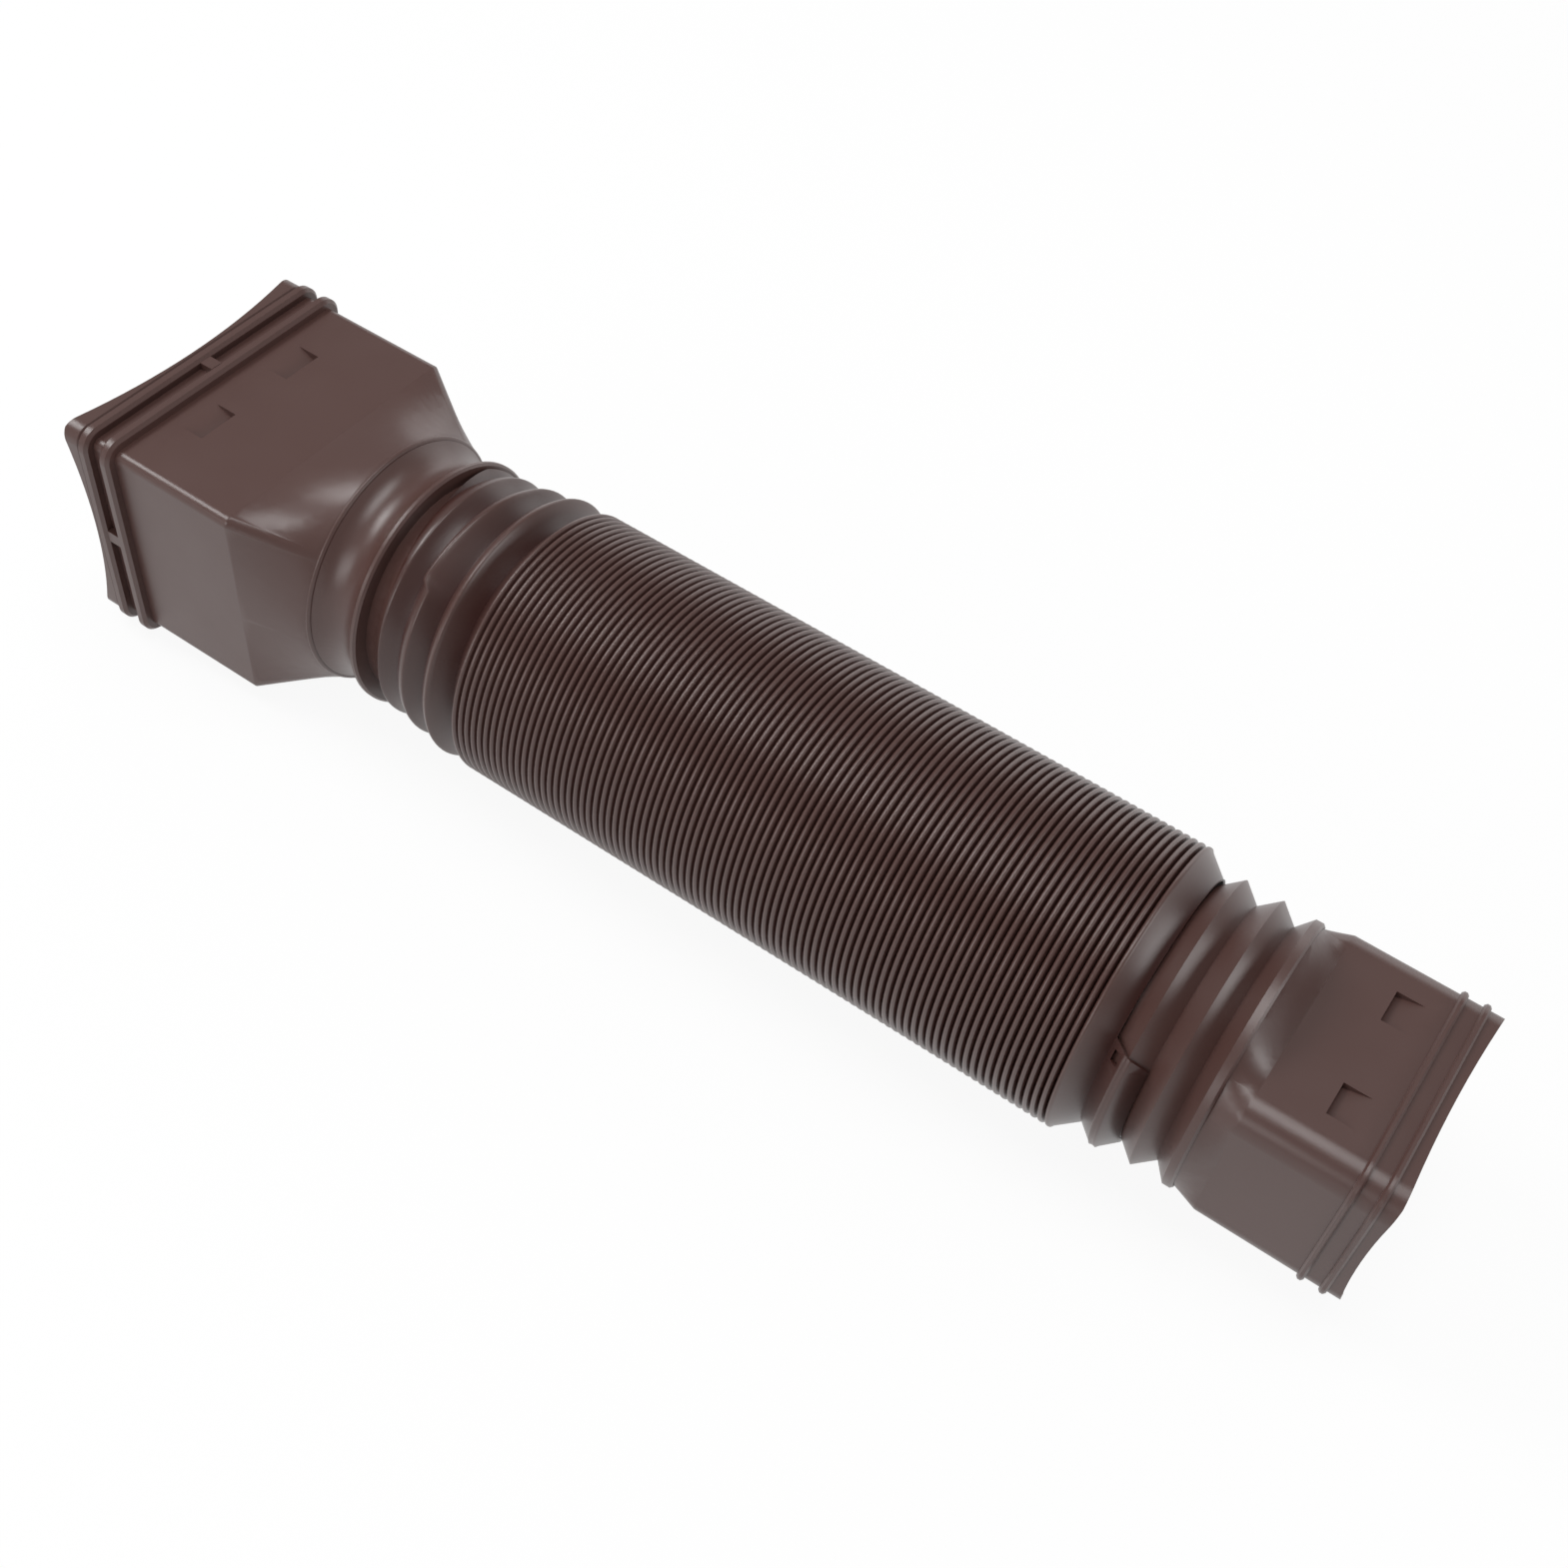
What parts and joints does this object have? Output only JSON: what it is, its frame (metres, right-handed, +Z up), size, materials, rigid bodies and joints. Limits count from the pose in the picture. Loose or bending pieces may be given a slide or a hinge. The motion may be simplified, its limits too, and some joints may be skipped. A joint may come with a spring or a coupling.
{
  "type": "flexible downspout extension",
  "caption": "Brown plastic bellows drain pipe, pushed together, with a large rectangular inlet coupling and a smaller rectangular outlet coupling for roof downspouts",
  "frame": {"origin": "under the middle of the object, on the surface that the pipe lies on", "axes": "X along the pipe, from the large inlet coupling to the small outlet coupling; Y across, along the wide faces of the couplings; Z up"},
  "size_m": [0.5196, 0.1194, 0.1047],
  "materials": {
    "coupling_plastic": "satin chocolate brown vinyl",
    "pipe_plastic": "satin chocolate brown vinyl, a little glossier on the folds"
  },
  "bodies": {
    "root": {"inlet_coupling": "coupling_plastic", "flexible_pipe": "pipe_plastic", "outlet_coupling": "coupling_plastic"}
  },
  "joints": []
}
